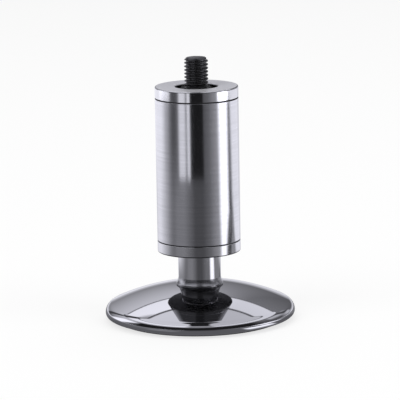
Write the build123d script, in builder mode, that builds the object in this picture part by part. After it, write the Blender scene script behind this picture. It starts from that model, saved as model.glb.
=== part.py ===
from build123d import *
from math import atan2, pi, sqrt, tan
import os

os.makedirs("parts", exist_ok=True)

# Overall sizes
body_diameter = 35.0
base_diameter = 80.0
lowest_height = 99.0
height_travel = 10.0
stud_projection = 12.0

# Clearances, all radial or along the axis
press_gap = 0.05
running_gap = 0.08
travel_end_gap = 0.2

# Body: a satin sleeve between two polished end rings
sleeve_length = 60.0
sleeve_wall = 1.8
sleeve_edge = 0.15
ring_height = 5.0
ring_edge = 0.5
seam_width = 0.4
seam_depth = 0.35
top_hole_diameter = 18.0
top_hole_edge = 0.6
top_spigot_length = 6.0

# Stud and the plug that holds it
thread_diameter = 10.0
stud_root_step = 0.3
stud_relief = 0.6
stud_chamfer = 1.0
insert_height = 8.5
boss_diameter = 13.0
boss_depth_in_hole = 2.5
boss_edge = 0.5

# Neck and its guide
neck_diameter = 18.0
neck_chamfer = 0.8
neck_foot_flare = 0.85
neck_foot_height = 0.8
neck_foot_blend = 2.6
guide_length = 17.0
guide_bush_wall = 1.6
guide_flange_width = 2.0
guide_flange_thickness = 1.2
bottom_spigot_length = 7.0
bottom_lip_height = 0.8
bottom_lip_gap = 0.35

# Height adjuster
adjusting_nut_height = 9.0
thrust_washer_diameter = 17.0
thrust_washer_thickness = 1.5
stop_washer_diameter = 20.0
stop_washer_thickness = 1.2
stop_nut_flats = 17.0
stop_nut_height = 5.0
stop_nut_chamfer = 0.6
spindle_tip = 1.1
spindle_chamfer = 0.8
neck_web = 4.0

# Base
base_height = 14.5
neck_seat_diameter = 20.4
base_edge_height = 5.7
base_edge_radius = 4.0
base_lip_width = 3.4
base_lip_rise = 1.2
base_lip_radius = 1.8
base_edge_land = 0.05
base_wall = 2.4
skirt_width = 9.0
boss_wall = 3.0
base_boss_rise = 2.0
rib_count = 4
rib_thickness = 1.8
rib_rise = 2.2
underside_blend = 1.6

# Screw that joins base and neck
screw_diameter = 8.0
screw_clearance = 0.4
screw_head_diameter = 14.0
screw_head_height = 4.4
screw_head_round = 1.8
screw_socket_flats = 5.0
screw_socket_depth = 2.6
screw_engagement = 10.0
screw_washer_diameter = 14.5
screw_washer_thickness = 1.2
screw_hole_spare = 1.0
counterbore_gap = 0.5
counterbore_depth = 6.0

# Floor ring
floor_ring_inset = 4.4
floor_ring_width = 3.2
floor_ring_proud = 0.6
floor_ring_thickness = 1.6
floor_ring_round = 0.3

# Heights above the floor with the foot screwed right in
body_top = lowest_height
sleeve_top = body_top - ring_height
sleeve_bottom = sleeve_top - sleeve_length
body_bottom = sleeve_bottom - ring_height
stud_top = body_top + stud_projection
insert_top = sleeve_top - top_spigot_length
insert_bottom = insert_top - insert_height
boss_top = body_top - boss_depth_in_hole
thread_start = boss_top + stud_relief
neck_bottom = base_height
neck_top = body_bottom + guide_length
thrust_washer_top = neck_top + thrust_washer_thickness
adjusting_nut_top = thrust_washer_top + adjusting_nut_height
stop_washer_bottom = adjusting_nut_top + height_travel + travel_end_gap
stop_nut_bottom = stop_washer_bottom + stop_washer_thickness
stop_nut_top = stop_nut_bottom + stop_nut_height
spindle_top = stop_nut_top + spindle_tip
screw_tip = neck_bottom + screw_engagement
spindle_bottom = screw_tip + screw_hole_spare + neck_web

# Radii
body_radius = body_diameter / 2
bore_radius = body_radius - sleeve_wall
spigot_radius = bore_radius - press_gap
top_hole_radius = top_hole_diameter / 2
thread_radius = thread_diameter / 2
thread_bore_radius = thread_radius + running_gap
stud_root_radius = thread_radius - stud_root_step
neck_radius = neck_diameter / 2
neck_foot_radius = neck_radius + neck_foot_flare
guide_bore_radius = neck_radius + running_gap
guide_outer_radius = guide_bore_radius + guide_bush_wall
base_radius = base_diameter / 2
neck_seat_radius = neck_seat_diameter / 2
screw_radius = screw_diameter / 2
counterbore_radius = screw_washer_diameter / 2 + counterbore_gap
base_boss_radius = counterbore_radius + boss_wall
groove_outer_radius = base_radius - floor_ring_inset
groove_inner_radius = groove_outer_radius - floor_ring_width
hollow_radius = base_radius - skirt_width

# The dome is part of a sphere through the neck's seat and the corner that its edge is rounded from
seat_rise = base_height - base_edge_height
dome_drop = (base_radius**2 - neck_seat_radius**2 - seat_rise**2) / (2 * seat_rise)
dome_radius = sqrt(base_radius**2 + dome_drop**2)
dome_centre = base_edge_height - dome_drop

# The lip is rounded no further than the upper rounding, less a short upright land, leaves room for
edge_centre_radius = base_radius - base_edge_radius
edge_centre = dome_centre + sqrt((dome_radius - base_edge_radius) ** 2 - edge_centre_radius**2)
lip_room = edge_centre - base_edge_land - floor_ring_proud - base_lip_rise
lip_turn = pi / 2 - atan2(base_lip_rise, base_lip_width)
lip_round = min(base_lip_radius, lip_room / tan(lip_turn / 2))


def dome_point(radius, depth=0.0):
    """Point of the dome's profile, or of a shell that deep inside it, at a distance from the axis."""
    return (radius, dome_centre + sqrt((dome_radius - depth) ** 2 - radius**2))


# Satin sleeve, a plain tube with broken edges
with BuildPart() as sleeve:
    with BuildSketch(Plane.XY.offset(sleeve_bottom)):
        Circle(body_radius)
        Circle(bore_radius, mode=Mode.SUBTRACT)
    extrude(amount=sleeve_length)
    chamfer(sleeve.edges().filter_by(GeomType.CIRCLE).group_by(SortBy.RADIUS)[-1], sleeve_edge)
sleeve.part.label = "sleeve"

# Top ring: flange with a seam shadow line, and a spigot that seats in the sleeve
with BuildPart() as top_ring:
    with BuildSketch(Plane.XY.offset(sleeve_top + seam_width)):
        Circle(body_radius)
    extrude(amount=ring_height - seam_width)
    chamfer(top_ring.faces().sort_by(Axis.Z)[-1].edges(), ring_edge)
    chamfer(top_ring.faces().sort_by(Axis.Z)[0].edges(), sleeve_edge)
    with BuildSketch(Plane.XY.offset(sleeve_top)):
        Circle(body_radius - seam_depth)
    extrude(amount=seam_width)
    with BuildSketch(Plane.XY.offset(insert_top)):
        Circle(spigot_radius)
    extrude(amount=top_spigot_length)
    with BuildSketch(Plane.XY.offset(insert_top)):
        Circle(top_hole_radius)
    extrude(amount=body_top - insert_top, mode=Mode.SUBTRACT)
    hole_rim = top_ring.faces().sort_by(Axis.Z)[-1].edges().sort_by(SortBy.RADIUS)[0]
    chamfer(hole_rim, top_hole_edge)
top_ring.part.label = "top_ring"

# Bottom ring: flange, seam line, spigot, and a bore with a lip around the neck
with BuildPart() as bottom_ring:
    with BuildSketch(Plane.XY.offset(body_bottom)):
        Circle(body_radius)
    extrude(amount=ring_height - seam_width)
    chamfer(bottom_ring.faces().sort_by(Axis.Z)[0].edges(), ring_edge)
    chamfer(bottom_ring.faces().sort_by(Axis.Z)[-1].edges(), sleeve_edge)
    with BuildSketch(Plane.XY.offset(sleeve_bottom - seam_width)):
        Circle(body_radius - seam_depth)
    extrude(amount=seam_width)
    with BuildSketch(Plane.XY.offset(sleeve_bottom)):
        Circle(spigot_radius)
    extrude(amount=bottom_spigot_length)
    with BuildSketch(Plane.XY.offset(body_bottom)):
        Circle(neck_radius + bottom_lip_gap)
    extrude(amount=bottom_lip_height, mode=Mode.SUBTRACT)
    with BuildSketch(Plane.XY.offset(body_bottom + bottom_lip_height)):
        Circle(guide_outer_radius + press_gap)
    extrude(amount=ring_height + bottom_spigot_length - bottom_lip_height, mode=Mode.SUBTRACT)
bottom_ring.part.label = "bottom_ring"

# Nylon guide bush, dropped into the bottom ring from above until its flange seats
with BuildPart() as guide_bush:
    with BuildSketch(Plane.XY.offset(body_bottom + bottom_lip_height)):
        Circle(guide_outer_radius)
    extrude(amount=ring_height + bottom_spigot_length - bottom_lip_height)
    with BuildSketch(Plane.XY.offset(sleeve_bottom + bottom_spigot_length)):
        Circle(guide_outer_radius + guide_flange_width)
    extrude(amount=guide_flange_thickness)
    with BuildSketch(Plane.XY.offset(body_bottom)):
        Circle(guide_bore_radius)
    extrude(amount=guide_length, mode=Mode.SUBTRACT)
guide_bush.part.label = "guide_bush"

# Plug pressed into the sleeve under the top ring, with a boss around the stud
with BuildPart() as stud_insert:
    with BuildSketch(Plane.XY.offset(insert_bottom)):
        Circle(spigot_radius)
    extrude(amount=insert_height)
    with BuildSketch(Plane.XY.offset(insert_top)):
        Circle(boss_diameter / 2)
    extrude(amount=boss_top - insert_top)
    chamfer(stud_insert.faces().sort_by(Axis.Z)[-1].edges(), boss_edge)
    with BuildSketch(Plane.XY.offset(insert_bottom)):
        Circle(stud_root_radius + press_gap)
    extrude(amount=boss_top - insert_bottom, mode=Mode.SUBTRACT)
stud_insert.part.label = "stud_insert"

# Threaded stud: its plain root is locked in the plug and ends in a relief just above the boss
with BuildPart() as stud:
    with BuildSketch(Plane.XY.offset(insert_bottom)):
        Circle(stud_root_radius)
    extrude(amount=thread_start - insert_bottom)
    with BuildSketch(Plane.XY.offset(thread_start)):
        Circle(thread_radius)
    extrude(amount=stud_top - thread_start)
    chamfer(stud.faces().sort_by(Axis.Z)[-1].edges(), stud_chamfer)
    chamfer(stud.faces().sort_by(Axis.Z)[0].edges(), stud_chamfer)
stud.part.label = "stud"

# Neck: turned from bar, flared where it stands on the base, drilled from both ends
with BuildPart() as neck:
    with BuildSketch(Plane.XZ):
        with BuildLine():
            flare_start = (neck_foot_radius, neck_bottom + neck_foot_height)
            flare_end = (neck_radius, neck_bottom + neck_foot_height + neck_foot_blend)
            Polyline((0, neck_top), (0, neck_bottom), (neck_foot_radius, neck_bottom), flare_start)
            TangentArc(flare_end, flare_start, tangent=(0, -1))
            Polyline(flare_end, (neck_radius, neck_top), (0, neck_top))
        make_face()
    revolve(axis=Axis.Z)
    chamfer(neck.faces().sort_by(Axis.Z)[-1].edges(), neck_chamfer)
    with BuildSketch(Plane.XY.offset(spindle_bottom)):
        Circle(thread_radius + press_gap)
    extrude(amount=neck_top - spindle_bottom, mode=Mode.SUBTRACT)
    with BuildSketch(Plane.XY.offset(neck_bottom)):
        Circle(screw_radius + press_gap)
    extrude(amount=screw_engagement + screw_hole_spare, mode=Mode.SUBTRACT)
neck.part.label = "neck"

# Spindle: the threaded rod that sets the height
with BuildPart() as spindle:
    with BuildSketch(Plane.XY.offset(spindle_bottom)):
        Circle(thread_radius)
    extrude(amount=spindle_top - spindle_bottom)
    chamfer(spindle.edges().filter_by(GeomType.CIRCLE), spindle_chamfer)
spindle.part.label = "spindle"

# Loose washer between the neck's shoulder and the adjusting nut
with BuildPart() as thrust_washer:
    with BuildSketch(Plane.XY.offset(neck_top)):
        Circle(thrust_washer_diameter / 2)
        Circle(thread_bore_radius, mode=Mode.SUBTRACT)
    extrude(amount=thrust_washer_thickness)
thrust_washer.part.label = "thrust_washer"

# Round threaded insert, pressed into the sleeve
with BuildPart() as adjusting_nut:
    with BuildSketch(Plane.XY.offset(thrust_washer_top)):
        Circle(spigot_radius)
    extrude(amount=adjusting_nut_height)
    chamfer(adjusting_nut.edges().filter_by(GeomType.CIRCLE), ring_edge)
    with BuildSketch(Plane.XY.offset(thrust_washer_top)):
        Circle(thread_bore_radius)
    extrude(amount=adjusting_nut_height, mode=Mode.SUBTRACT)
adjusting_nut.part.label = "adjusting_nut"

# Stop washer and thin hex nut that end the travel
with BuildPart() as stop_washer:
    with BuildSketch(Plane.XY.offset(stop_washer_bottom)):
        Circle(stop_washer_diameter / 2)
        Circle(thread_radius + press_gap, mode=Mode.SUBTRACT)
    extrude(amount=stop_washer_thickness)
stop_washer.part.label = "stop_washer"

with BuildPart() as stop_nut:
    with BuildSketch(Plane.XY.offset(stop_nut_bottom)):
        RegularPolygon(stop_nut_flats / 2, 6, major_radius=False)
    extrude(amount=stop_nut_height)
    with BuildSketch(Plane.XY.offset(stop_nut_bottom)):
        Circle(stop_nut_flats / 2 + stop_nut_chamfer)
    extrude(amount=stop_nut_height, mode=Mode.INTERSECT)
    with BuildSketch(Plane.XY.offset(stop_nut_bottom)):
        Circle(thread_radius + press_gap)
    extrude(amount=stop_nut_height, mode=Mode.SUBTRACT)
stop_nut.part.label = "stop_nut"

# Base: cast dome whose round edge tucks in underneath, hollow below, with a screw boss and ribs
rib_step = 360 / rib_count
rib_planes = []
for rib_number in range(rib_count):
    rib_turn = (rib_number + 0.5) * rib_step
    rib_direction = Vector(1, 0, 0).rotate(Axis.Z, rib_turn)
    rib_normal = Vector(0, -1, 0).rotate(Axis.Z, rib_turn)
    rib_planes.append(Plane(origin=(0, 0, 0), x_dir=rib_direction, z_dir=rib_normal))

with BuildPart() as base_dome:
    with BuildSketch(Plane.XZ) as dome_profile:
        with BuildLine():
            dome_middle = dome_point((base_radius + neck_seat_radius) / 2)
            edge_top = dome_point(base_radius)
            edge_low = (base_radius, floor_ring_proud + base_lip_rise)
            lip_foot = (base_radius - base_lip_width, floor_ring_proud)
            Polyline((0, base_height), (0, floor_ring_proud), lip_foot, edge_low, edge_top)
            ThreePointArc(edge_top, dome_middle, dome_point(neck_seat_radius))
            Line(dome_point(neck_seat_radius), (0, base_height))
        make_face()
        fillet(dome_profile.vertices().group_by(Axis.X)[-1].sort_by(Axis.Y)[-1], base_edge_radius)
        fillet(dome_profile.vertices().group_by(Axis.X)[-1].sort_by(Axis.Y)[0], lip_round)
    revolve(axis=Axis.Z)
    with BuildSketch(Plane.XZ):
        with BuildLine():
            roof_outer = dome_point(hollow_radius, base_wall)
            roof_middle = dome_point((hollow_radius + base_boss_radius) / 2, base_wall)
            roof_inner = dome_point(base_boss_radius, base_wall)
            Polyline(roof_inner, (base_boss_radius, 0), (hollow_radius, 0), roof_outer)
            ThreePointArc(roof_outer, roof_middle, roof_inner)
        hollow_face = make_face()
        fillet(hollow_face.vertices().sort_by(Axis.Y)[2:], underside_blend)
    revolve(axis=Axis.Z, mode=Mode.SUBTRACT)
    with BuildSketch(*rib_planes):
        with BuildLine():
            rib_start = base_boss_radius - boss_wall / 2
            rib_end = hollow_radius + base_wall / 2
            rib_outer = dome_point(rib_end, base_wall / 2)
            rib_middle = dome_point((rib_start + rib_end) / 2, base_wall / 2)
            rib_inner = dome_point(rib_start, base_wall / 2)
            Polyline(rib_inner, (rib_start, rib_rise), (rib_end, rib_rise), rib_outer)
            ThreePointArc(rib_outer, rib_middle, rib_inner)
        make_face()
    extrude(amount=rib_thickness / 2, both=True)
    with BuildSketch(Plane.XY):
        Circle(base_boss_radius)
    extrude(amount=base_boss_rise, mode=Mode.SUBTRACT)
    with BuildSketch(Plane.XY.offset(base_boss_rise)):
        Circle(counterbore_radius)
    extrude(amount=counterbore_depth, mode=Mode.SUBTRACT)
    with BuildSketch(Plane.XY):
        Circle(screw_radius + screw_clearance)
    extrude(amount=base_height, mode=Mode.SUBTRACT)
    with BuildSketch(Plane.XY):
        Circle(groove_outer_radius)
        Circle(groove_inner_radius, mode=Mode.SUBTRACT)
    extrude(amount=floor_ring_thickness, mode=Mode.SUBTRACT)
base_dome.part.label = "base_dome"

# Screw and washer in the base's counterbore
washer_top = base_boss_rise + counterbore_depth
washer_bottom = washer_top - screw_washer_thickness

with BuildPart() as screw_washer:
    with BuildSketch(Plane.XY.offset(washer_bottom)):
        Circle(screw_washer_diameter / 2)
        Circle(screw_radius + screw_clearance, mode=Mode.SUBTRACT)
    extrude(amount=screw_washer_thickness)
screw_washer.part.label = "screw_washer"

with BuildPart() as base_screw:
    with BuildSketch(Plane.XY.offset(washer_bottom - screw_head_height)):
        Circle(screw_head_diameter / 2)
    extrude(amount=screw_head_height)
    fillet(base_screw.faces().sort_by(Axis.Z)[0].edges(), screw_head_round)
    with BuildSketch(Plane.XY.offset(washer_bottom)):
        Circle(screw_radius)
    extrude(amount=screw_tip - washer_bottom)
    chamfer(base_screw.faces().sort_by(Axis.Z)[-1].edges(), spindle_chamfer)
    with BuildSketch(Plane.XY.offset(washer_bottom - screw_head_height)):
        RegularPolygon(screw_socket_flats / 2, 6, major_radius=False)
    extrude(amount=screw_socket_depth, mode=Mode.SUBTRACT)
base_screw.part.label = "base_screw"

# Rubber ring in the groove under the skirt
with BuildPart() as floor_ring:
    with BuildSketch(Plane.XY):
        Circle(groove_outer_radius - press_gap)
        Circle(groove_inner_radius + press_gap, mode=Mode.SUBTRACT)
    extrude(amount=floor_ring_thickness)
    fillet(floor_ring.faces().sort_by(Axis.Z)[0].edges(), floor_ring_round)
floor_ring.part.label = "floor_ring"

pieces = [
    sleeve,
    top_ring,
    bottom_ring,
    guide_bush,
    stud_insert,
    stud,
    adjusting_nut,
    thrust_washer,
    neck,
    spindle,
    stop_washer,
    stop_nut,
    base_dome,
    screw_washer,
    base_screw,
    floor_ring,
]
for piece in pieces:
    export_step(piece.part, f"parts/{piece.part.label}.step")
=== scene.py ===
"""Looks of a height-adjustable furniture foot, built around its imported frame.

The turned pieces are lathe shells made by one Geometry Nodes tree, the stud's thread by a second
and the casting's ribs by a third. A light tent of soft boxes and dark cards and a table sweep of
mats give the chrome its reflections, and a plain pale floor carries the foot.
"""

import logging
import math
from dataclasses import dataclass, field
from enum import Enum
from typing import Optional, Sequence

import bmesh
import bpy
from mathutils import Matrix, Vector


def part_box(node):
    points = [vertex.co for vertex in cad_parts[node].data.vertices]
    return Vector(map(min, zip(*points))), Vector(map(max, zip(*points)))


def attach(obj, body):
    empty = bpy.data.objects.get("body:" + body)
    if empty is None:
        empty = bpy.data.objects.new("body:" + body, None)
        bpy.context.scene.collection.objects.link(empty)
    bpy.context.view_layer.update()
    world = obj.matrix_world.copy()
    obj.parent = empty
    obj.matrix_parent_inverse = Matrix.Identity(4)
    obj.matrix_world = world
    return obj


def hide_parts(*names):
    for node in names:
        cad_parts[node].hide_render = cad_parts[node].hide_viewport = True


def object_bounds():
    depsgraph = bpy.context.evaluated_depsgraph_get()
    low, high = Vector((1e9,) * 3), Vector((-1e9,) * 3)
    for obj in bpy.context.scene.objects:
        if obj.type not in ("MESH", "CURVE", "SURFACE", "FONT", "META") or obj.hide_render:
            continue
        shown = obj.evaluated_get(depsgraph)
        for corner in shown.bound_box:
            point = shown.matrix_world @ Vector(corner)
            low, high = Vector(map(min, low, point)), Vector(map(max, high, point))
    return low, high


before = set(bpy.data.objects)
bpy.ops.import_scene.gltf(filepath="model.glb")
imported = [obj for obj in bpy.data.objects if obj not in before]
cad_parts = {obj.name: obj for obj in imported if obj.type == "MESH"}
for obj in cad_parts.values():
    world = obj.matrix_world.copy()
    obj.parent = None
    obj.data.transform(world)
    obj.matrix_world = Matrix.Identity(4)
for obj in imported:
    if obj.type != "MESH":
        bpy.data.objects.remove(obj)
cad_low, cad_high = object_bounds()

Colour = tuple[float, float, float]
Pair = tuple[float, float]
Node = bpy.types.Node
Object = bpy.types.Object
Socket = bpy.types.NodeSocket

LOG = logging.getLogger("furniture_foot")
MM = 0.001
IMAGE_SIDE = 400
MERGE_DISTANCE = 0.002 * MM
RISE = (0.0, 1.0)
FALL = (1.0, 0.0)
BLACK = (0.0, 0.0, 0.0, 1.0)
WHITE = (1.0, 1.0, 1.0, 1.0)


class Body(Enum):
    """Rigid bodies of the foot, by their names in the frame."""

    LEG = "leg_body"
    WASHER = "lift_washer"
    FOOT = "foot"


class Slot(Enum):
    """Finish slots of the record, for the pieces made here."""

    SATIN = "satin_sleeve"
    CHROME = "polished_chrome"
    MIRROR = "mirror_dome"
    TURNED = "turned_steel"
    BLACK = "black_steel"
    RUBBER = "black_rubber"


class NodeWriter:
    """Adds and links nodes in one node tree."""

    def __init__(self, tree: bpy.types.NodeTree) -> None:
        """Keep the tree that the nodes go into.

        Args:
            tree: The shader or geometry tree.
        """
        self.tree = tree

    def add(self, kind: str, inputs: Optional[dict] = None, **settings: object) -> Node:
        """Add one node.

        Args:
            kind: Blender's type name of the node.
            inputs: Values or sockets for its inputs, by name or by number.
            **settings: Properties of the node itself.

        Returns:
            The new node.
        """
        node = self.tree.nodes.new(kind)
        for name, value in settings.items():
            setattr(node, name, value)
        for key, value in (inputs or {}).items():
            self.feed(node.inputs[key], value)
        return node

    def feed(self, socket: Socket, value: object) -> None:
        """Give a socket a link or a constant.

        Args:
            socket: The input to fill.
            value: An output socket to link, or a constant.
        """
        if isinstance(value, Socket):
            self.tree.links.new(value, socket)
        else:
            socket.default_value = value

    def math(self, operation: str, *values: object) -> Socket:
        """Add a math node.

        Args:
            operation: The name of the operation.
            *values: Up to three numbers or sockets.

        Returns:
            The result's socket.
        """
        return self.add("ShaderNodeMath", dict(enumerate(values)), operation=operation).outputs[0]

    def mix(self, share: object, under: object, over: object) -> Socket:
        """Mix two numbers, by a share that is 0 for the first and 1 for the second."""
        return self.add("ShaderNodeMix", {"Factor": share, "A": under, "B": over}).outputs["Result"]

    def remap(self, value: object, source: Pair, target: Pair, smooth: bool = False) -> Socket:
        """Map a value from one range to another, clamped.

        Args:
            value: The socket or number to map.
            source: Lowest and highest value of the source range.
            target: What those two become.
            smooth: Whether the ends ease in and out.

        Returns:
            The result's socket.
        """
        ends = {"Value": value, "From Min": source[0], "From Max": source[1]}
        ends.update({"To Min": target[0], "To Max": target[1]})
        kind = "SMOOTHSTEP" if smooth else "LINEAR"
        node = self.add("ShaderNodeMapRange", None, interpolation_type=kind)
        for name, setting in ends.items():
            self.feed(node.inputs[name], setting)
        return node.outputs["Result"]

    def noise(
        self,
        vector: Socket,
        scale: float,
        detail: float = 2.0,
        distortion: float = 0.0,
    ) -> Socket:
        """Add a noise pattern.

        Args:
            vector: Where it is read.
            scale: Its scale, per metre on plain object coordinates.
            detail: Its octaves.
            distortion: How far it is warped.

        Returns:
            The pattern's value socket.
        """
        inputs = {"Vector": vector, "Scale": scale, "Detail": detail, "Distortion": distortion}
        return self.add("ShaderNodeTexNoise", inputs).outputs[0]

    def stretched(
        self,
        vector: Socket,
        scale: tuple[float, float, float],
        turn: tuple[float, float, float] = (0.0, 0.0, 0.0),
    ) -> Socket:
        """Scale and turn a coordinate.

        Args:
            vector: The coordinate.
            scale: Its scale along each axis.
            turn: Its turn about each axis, in radians.

        Returns:
            The mapped coordinate's socket.
        """
        inputs = {"Vector": vector, "Rotation": turn, "Scale": scale}
        return self.add("ShaderNodeMapping", inputs).outputs[0]


class Coat:
    """A material and the writer of its tree, while a finish, a painter or the studio fills it."""

    def __init__(self, title: str) -> None:
        """Start the material.

        Args:
            title: Its name.
        """
        self.material = bpy.data.materials.new(title)
        self.material.use_nodes = True
        self.tree = self.material.node_tree
        self.writer = NodeWriter(self.tree)
        self.shader = self.tree.nodes["Principled BSDF"]

    def place(self) -> Socket:
        """Add the object coordinates."""
        return self.writer.add("ShaderNodeTexCoord").outputs["Object"]

    def set(self, name: str, value: object) -> None:
        """Fill one of the Principled shader's inputs."""
        self.writer.feed(self.shader.inputs[name], value)

    def swap_shader(self, shader: Socket) -> None:
        """Put another shader in the place of the Principled one."""
        self.tree.nodes.remove(self.shader)
        self.writer.feed(self.tree.nodes["Material Output"].inputs["Surface"], shader)


# The fine patterns of every finish: which stretch of a noise counts, and its scales per metre.
NOISE_SPAN = (0.35, 0.65)
TURNING_LINES = (40.0, 40.0, 1900.0)
LINE_SPAN = (0.3, 0.7)
SCRATCH_STRETCH = (4200.0, 60.0, 60.0)
SCRATCH_TURNS = ((0.3, 0.2, 0.5), (1.1, 0.4, 2.0), (0.2, 1.2, 3.6))
SCRATCH_SPAN = (0.70, 0.74)
SCRATCH_ROUGHNESS = 0.12


@dataclass(frozen=True)
class Finish:
    """A surface finish: its shader constants and the fine pattern that breaks them up.

    Attributes:
        title: Name of the material.
        colour: Base colour, linear.
        metallic: 1 for bare metal, 0 for plastic and rubber.
        roughness: Lowest and highest roughness, blended by slow noise.
        grain: Scale of the fine pattern along X, Y and Z, per metre.
        grain_depth: Depth of the fine pattern, in metres.
        mottle: Scale of the slow noise, per metre.
        shade: How much darker the slow noise makes the colour, as a share.
        lines: How much darker the fine turning lines make the colour, as a share.
        anisotropic: Stretch of the gloss across the turning marks.
        turn: Turn of that stretch, 0 around the axis and 0.25 along it.
        scratches: Strength of the hairline scratches, 0 for none.
        specular: Specular level of a finish that isn't metal.
    """

    title: str
    colour: Colour
    metallic: float = 1.0
    roughness: Pair = (0.04, 0.08)
    grain: tuple[float, float, float] = (900.0, 900.0, 900.0)
    grain_depth: float = 0.0
    mottle: float = 60.0
    shade: float = 0.04
    lines: float = 0.0
    anisotropic: float = 0.0
    turn: float = 0.0
    scratches: float = 0.0
    specular: float = 0.5

    def material(self) -> bpy.types.Material:
        """Build the material, or return it if it exists.

        Returns:
            The finished material.
        """
        found = bpy.data.materials.get(self.title)
        if found:
            return found
        coat = Coat(self.title)
        writer = coat.writer
        place = coat.place()
        slow = writer.noise(place, self.mottle, detail=3.0)
        self.colour_nodes(coat, place, slow)
        coat.set("Metallic", self.metallic)
        coat.set("Specular IOR Level", self.specular)
        coat.set("Anisotropic", self.anisotropic)
        coat.set("Anisotropic Rotation", self.turn)
        if self.anisotropic:
            tangent = writer.add("ShaderNodeTangent", direction_type="RADIAL", axis="Z")
            coat.set("Tangent", tangent.outputs[0])
        marks = self.scratch_nodes(writer, place)
        rough = writer.remap(slow, NOISE_SPAN, self.roughness)
        if marks is not None:
            rough = writer.math("ADD", rough, writer.math("MULTIPLY", marks, SCRATCH_ROUGHNESS))
        coat.set("Roughness", rough)
        self.relief_nodes(coat, place, marks)
        coat.material.diffuse_color = (*self.colour, 1.0)
        return coat.material

    def colour_nodes(self, coat: Coat, place: Socket, slow: Socket) -> None:
        """Vary the colour over the surface, slowly and along the turning lines.

        Args:
            coat: The material.
            place: Its object coordinates.
            slow: The slow noise.
        """
        writer = coat.writer
        share = writer.math("MULTIPLY", slow, self.shade)
        if self.lines:
            line = writer.noise(writer.stretched(place, TURNING_LINES), 1.0, detail=4.0)
            line = writer.remap(line, LINE_SPAN, (0.0, self.lines))
            share = writer.math("ADD", share, line)
        mix = writer.add("ShaderNodeMix", {"Factor": share}, data_type="RGBA")
        mix.inputs["A"].default_value = (*self.colour, 1.0)
        mix.inputs["B"].default_value = BLACK
        coat.set("Base Color", mix.outputs["Result"])

    def scratch_nodes(self, writer: NodeWriter, place: Socket) -> Optional[Socket]:
        """Add sparse hairline scratches in three directions.

        Args:
            writer: Writer of the material's tree.
            place: Its object coordinates.

        Returns:
            A socket that is 1 in a scratch and 0 elsewhere, or None without scratches.
        """
        if not self.scratches:
            return None
        total = None
        for number, turn in enumerate(SCRATCH_TURNS):
            lines = writer.stretched(place, SCRATCH_STRETCH, turn)
            line = writer.noise(lines, 1.0, detail=1.0, distortion=0.1 * number)
            hair = writer.remap(line, SCRATCH_SPAN, (0.0, self.scratches))
            total = hair if total is None else writer.math("MAXIMUM", total, hair)
        return total

    def relief_nodes(self, coat: Coat, place: Socket, marks: Optional[Socket]) -> None:
        """Press the fine pattern and the scratches into the surface as bump.

        Args:
            coat: The material.
            place: Its object coordinates.
            marks: The scratches, if there are any.
        """
        if not self.grain_depth:
            return
        writer = coat.writer
        height = writer.noise(writer.stretched(place, self.grain), 1.0, detail=3.0)
        if marks is not None:
            height = writer.math("SUBTRACT", height, marks)
        inputs = {"Height": height, "Strength": 1.0, "Distance": self.grain_depth}
        coat.set("Normal", writer.add("ShaderNodeBump", inputs).outputs[0])


SATIN_SLEEVE = Finish(
    "satin_turned_chrome", (0.86, 0.86, 0.89), roughness=(0.085, 0.115), grain=(2400.0, 2400.0, 1500.0),
    grain_depth=1.3e-6, mottle=45.0, shade=0.06, lines=0.10, anisotropic=0.9,
)
POLISHED_CHROME = Finish(
    "polished_chrome", (0.82, 0.82, 0.85), roughness=(0.035, 0.07), grain=(420.0, 420.0, 420.0),
    grain_depth=6.0e-7, scratches=0.25,
)
MIRROR_CHROME = Finish(
    "mirror_dome_chrome", (0.83, 0.83, 0.86), roughness=(0.02, 0.05), grain=(300.0, 300.0, 300.0),
    grain_depth=5.0e-7, scratches=0.25,
)
TURNED_FACE = Finish(
    "turned_ring_face", (0.74, 0.74, 0.78), metallic=0.6, roughness=(0.36, 0.44),
    grain=(1400.0, 1400.0, 60.0), grain_depth=1.2e-6, anisotropic=0.3,
)
# Painted shade: the bottom ring's underside is chrome coloured near black, standing for the dark
# reflection and shade under the body.
PAINTED_SHADE_UNDER_FACE = Finish(
    "painted_shade_under_face", (0.06, 0.06, 0.064), metallic=0.7, roughness=(0.22, 0.32),
    grain=(1400.0, 1400.0, 60.0), grain_depth=1.2e-6, shade=0.3,
)
# Painted shade: the neck's foot and flare are chrome darkened to grey, standing for shade at the neck's
# foot instead of the bright ring that the fillet would mirror.
PAINTED_SHADE_FLARE = Finish(
    "painted_shade_foot_flare", (0.50, 0.50, 0.52), roughness=(0.24, 0.30), grain=(200.0, 200.0, 2600.0),
    grain_depth=3.0e-7, shade=0.1, anisotropic=0.9, turn=0.25,
)
SEAM_SHADOW = Finish(
    "seam_shadow", (0.03, 0.03, 0.033), metallic=0.0, roughness=(0.6, 0.75),
    grain_depth=2.0e-6, shade=0.3, specular=0.2,
)
TURNED_STEEL = Finish(
    "turned_steel", (0.30, 0.30, 0.31), roughness=(0.28, 0.40), grain=(120.0, 120.0, 2600.0),
    grain_depth=3.0e-6, shade=0.2,
)
BLACK_OXIDE = Finish(
    "black_oxide_steel", (0.11, 0.11, 0.116), metallic=0.9, roughness=(0.22, 0.32),
    grain=(2600.0, 2600.0, 2600.0), grain_depth=3.0e-6, mottle=300.0, shade=0.45,
)
PLATED_STEEL = Finish(
    "bright_zinc_plate", (0.62, 0.62, 0.60), roughness=(0.18, 0.32), grain=(1500.0, 1500.0, 1500.0),
    grain_depth=2.0e-6, shade=0.15,
)
CAST_SKIN = Finish(
    "plated_casting_skin", (0.50, 0.50, 0.52), roughness=(0.30, 0.45), grain=(1100.0, 1100.0, 1100.0),
    grain_depth=1.2e-5, shade=0.25,
)
NYLON = Finish(
    "moulded_nylon", (0.72, 0.70, 0.65), metallic=0.0, roughness=(0.42, 0.55),
    grain=(800.0, 800.0, 800.0), grain_depth=4.0e-6,
)
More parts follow.
